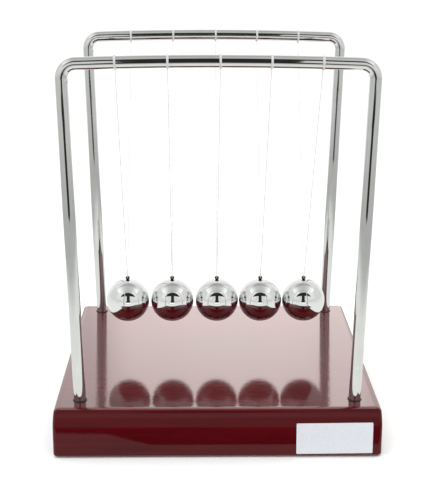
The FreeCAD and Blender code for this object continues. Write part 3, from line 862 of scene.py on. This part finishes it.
def rectangle(x, y, z):
    """Corners of a card from (low, high) ranges; z may lean with y."""
    return [(x[0], y[0], z[0]), (x[1], y[0], z[0]), (x[1], y[1], z[1]), (x[0], y[1], z[1])]


def build_floor():
    """A broad white floor, its colour paler near the cradle and greyer far out: painted light that
    makes up for the shade round the cradle.
    """
    mesh = bpy.data.meshes.new("floor")
    mesh.from_pydata(rectangle((-9, 9), (-9, 9), (0, 0)), [], [(0, 1, 2, 3)])
    material, tree, shader = node_material("floor", Roughness=0.9)
    # Painted light: the floor's colour is paler near the cradle and greyer far out, to offset the
    # shade there.
    tree.links.new(fade_level(tree, (1, 1, 0), [(0.10, 0.92), (0.30, 0.80), (0.9, 0.74)]),
                   shader.inputs["Base Color"])
    shader.inputs["Specular IOR Level"].default_value = 0.1
    mesh.materials.append(material)
    floor = bpy.data.objects.new("floor", mesh)
    floor.visible_glossy = False
    bpy.context.scene.collection.objects.link(floor)


def build_world():
    """A soft pale tent."""
    world = bpy.data.worlds.new("studio")
    bpy.context.scene.world = world
    world.use_nodes = True
    background = world.node_tree.nodes["Background"]
    background.inputs["Color"].default_value = (0.84, 0.85, 0.835, 1)
    background.inputs["Strength"].default_value = 1.0


def soft_sun(name, direction, strength, spread_angle):
    """Very soft, even light from one side of the tent, which doesn't show in the chrome."""
    lamp = bpy.data.lights.new(name, "SUN")
    lamp.energy = strength
    lamp.angle = math.radians(spread_angle)
    light = bpy.data.objects.new(name, lamp)
    light.rotation_euler = Vector(direction).to_track_quat("-Z", "Y").to_euler()
    light.visible_glossy = False
    bpy.context.scene.collection.objects.link(light)


def floor_cards(board, frames, balls):
    """What the pieces mirror of the floor: the table, and a shaded strip in front of the board
    that is lit again for the frames."""
    card("table", rectangle((-4, 4), (-4, 4), (0.001, 0.001)), GREY, 1.05,
         [((1, 1, 0), [(0, 1.0), (0.26, 0.95), (0.36, 0.58), (0.45, 0.54), (1.0, 0.68)])])
    card("table_for_balls", rectangle((-4, 4), (-4, 4), (0.0015, 0.0015)), GREY, 0.40,
         [((1, 1, 0), [(0.24, 0.0), (0.36, 0.9), (0.45, 1.0), (1.0, 0.7)])], only=balls)
    shade = [(-0.12, -0.165), (0.12, -0.165), (0.12, -0.086), (-0.032, -0.086), (-0.055, -0.098),
             (-0.12, -0.101)]
    card("front_shade", [(x, y, 0.002) for x, y in shade], DARK, 1.0)
    card("shade_by_frames", [(x, y, 0.0022) for x, y in shade], GREY, 1.02, only=frames)
    card("shade_lift", rectangle((-0.12, 0.12), (-0.165, -0.111), (0.0025, 0.0025)), GREY, 0.55,
         only=[board])


def tent_cards(board):
    """The bright tent behind, above and beside the cradle, and the sheen on the board."""
    card("backdrop", rectangle((-0.6, 0.6), (0.34, 0.38), (0.02, 0.75)), PALE, 1.15,
         [((1, 0, 0), [(0.04, 1.0), (0.30, 0.9)]), ((0, 0, 1), [(0.20, 1.0), (0.50, 0.85)])])
    card("board_glow", rectangle((-0.6, 0.6), (0.30, 0.34), (0.05, 0.60)), (1.0, 0.90, 0.865), 3.9,
         [((1, 0, 0), [(0.03, 1.0), (0.095, 0.92), (0.125, 0.50), (0.25, 0.3)]),
          ((0, 0, 1), [(0.06, 0.72), (0.14, 0.90), (0.19, 1.0)])], only=[board],
         centre=(0.03, 0, 0))
    card("edge_glow", rectangle((-0.3, 0.3), (0.10, 0.34), (0.85, 0.60)), (1.0, 0.92, 0.90), 4.6,
         only=[board])
    card("ceiling", rectangle((-1.3, 1.3), (-1.28, 0.27), (1.2, 1.2)), GREY, 1.25,
         [((0, 1, 0), [(0.0, 0.62), (0.07, 0.68), (0.18, 0.95), (0.4, 1.0)]),
          ((1, 0, 0), [(0.0, 0.50), (0.40, 0.58), (0.60, 0.75), (0.95, 1.0)])],
         centre=(0, 0.33, 0))
    for side, along in SIDES.items():
        inner, outer = along * 0.42, along * 1.35
        card(f"softbox_{side}", [(inner, -0.85, 0.12), (outer, -0.62, 0.12),
                                 (outer, -0.50, 1.5), (inner, -0.60, 1.5)], PALE, 1.0,
             [((0, 0, 1), [(0.10, 0.72), (0.30, 0.90), (0.60, 1.0)])])


def camera_cards(balls):
    """The dark side where the camera stands: its stand, the arch over it and the floor there."""
    stand_y = -0.56
    right_edge = [(0.13, 0.05), (0.115, 0.11), (0.08, 0.17), (0.10, 0.56)]
    outline = [(-0.13, 0.05)] + right_edge + [(-x, z) for x, z in right_edge[:0:-1]]
    card("camera_stand", [(x, stand_y, z) for x, z in outline], DARK, 1.0)
    half_width, springing, rise, underside = 0.54, 0.42, 0.45, 0.05
    arch = []
    steps = 16
    for step in range(steps + 1):
        angle = math.pi * step / steps
        arch.append((half_width * math.cos(angle), stand_y, springing + rise * math.sin(angle)))
    for step in range(1, steps):
        angle = math.pi * (1 - step / steps)
        arch.append((half_width * math.cos(angle), stand_y,
                     springing + underside * math.sin(angle)))
    card("camera_arch", arch, DARK, 1.0)
    card("camera_floor", [(-0.30, -0.95, 0.003), (0.30, -0.95, 0.003),
                          (0.15, -0.50, 0.003), (-0.15, -0.50, 0.003)], DARK, 1.0)
    card("dark_gap", rectangle((-0.4, 0.4), (-1.25, -0.95), (0.002, 0.002)), DARK, 1.0)
    card("foot_for_balls", [(-0.15, -0.50, 0.004), (0.15, -0.50, 0.004),
                            (0.13, -0.555, 0.078), (-0.13, -0.555, 0.078)], GREY, 0.85, only=balls)


def build_camera():
    """The camera at the photograph's angle."""
    camera = bpy.data.cameras.new("camera")
    camera.sensor_width = CAMERA_SENSOR
    camera.lens = CAMERA_LENS
    camera.clip_start = CAMERA_CLIP
    place = bpy.data.objects.new("camera", camera)
    level = math.cos(CAMERA_PITCH)
    forward = Vector((math.sin(CAMERA_YAW) * level, math.cos(CAMERA_YAW) * level,
                      -math.sin(CAMERA_PITCH)))
    right = Vector((math.cos(CAMERA_YAW), -math.sin(CAMERA_YAW), 0))
    upward = right.cross(forward)
    turned_right = right * math.cos(CAMERA_ROLL) + upward * math.sin(CAMERA_ROLL)
    turned_up = upward * math.cos(CAMERA_ROLL) - right * math.sin(CAMERA_ROLL)
    basis = Matrix((turned_right, turned_up, -forward)).transposed().to_4x4()
    place.matrix_world = Matrix.Translation(CAMERA_SPOT) @ basis
    bpy.context.scene.collection.objects.link(place)
    bpy.context.scene.camera = place


def build_studio(board, frames, balls):
    """Floor, world, lights, cards and camera."""
    bpy.context.scene.view_settings.view_transform = "Standard"
    build_floor()
    build_world()
    soft_sun("key", (0.55, 0.45, -1.0), 1.1, 70)
    soft_sun("fill", (-0.6, 0.35, -1.0), 0.7, 90)
    soft_sun("back", (0.05, -0.7, -1.0), 0.6, 90)
    floor_cards(board, frames, balls)
    tent_cards(board)
    camera_cards(balls)
    build_camera()


# ---------------------------------------------------------------- the cradle

def build_cradle():
    """Every piece on its body; returns the board, the frames and the balls."""
    wood = lacquered_wood()
    rod = chrome("chrome_rod", (0.70, 0.705, 0.70), 0.07, 0.03, 0.05 * MM)
    steel = chrome("chrome_ball", (0.78, 0.785, 0.78), 0.035, 0.015, 0.004 * MM)
    pin, line, black = dark_pin(), nylon(), bush_plastic()
    board = build_board(wood)
    build_bushes(black)
    build_pads(felt())
    build_label(label_paper())
    frames = [build_frame(end, rod) for end in ENDS]
    balls = []
    for number in BALLS:
        balls.append(build_ball(number, steel))
        build_eye(number, pin)
        build_line(number, line)
        for end in ENDS:
            build_tie(number, end, line)
    zinc = zinc_steel()
    for node in ("frame_screws", "screw_washers"):
        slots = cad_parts[node].material_slots
        for entry in slots:
            entry.link = "OBJECT"
            entry.material = zinc
    return board, frames, balls


build_studio(*build_cradle())
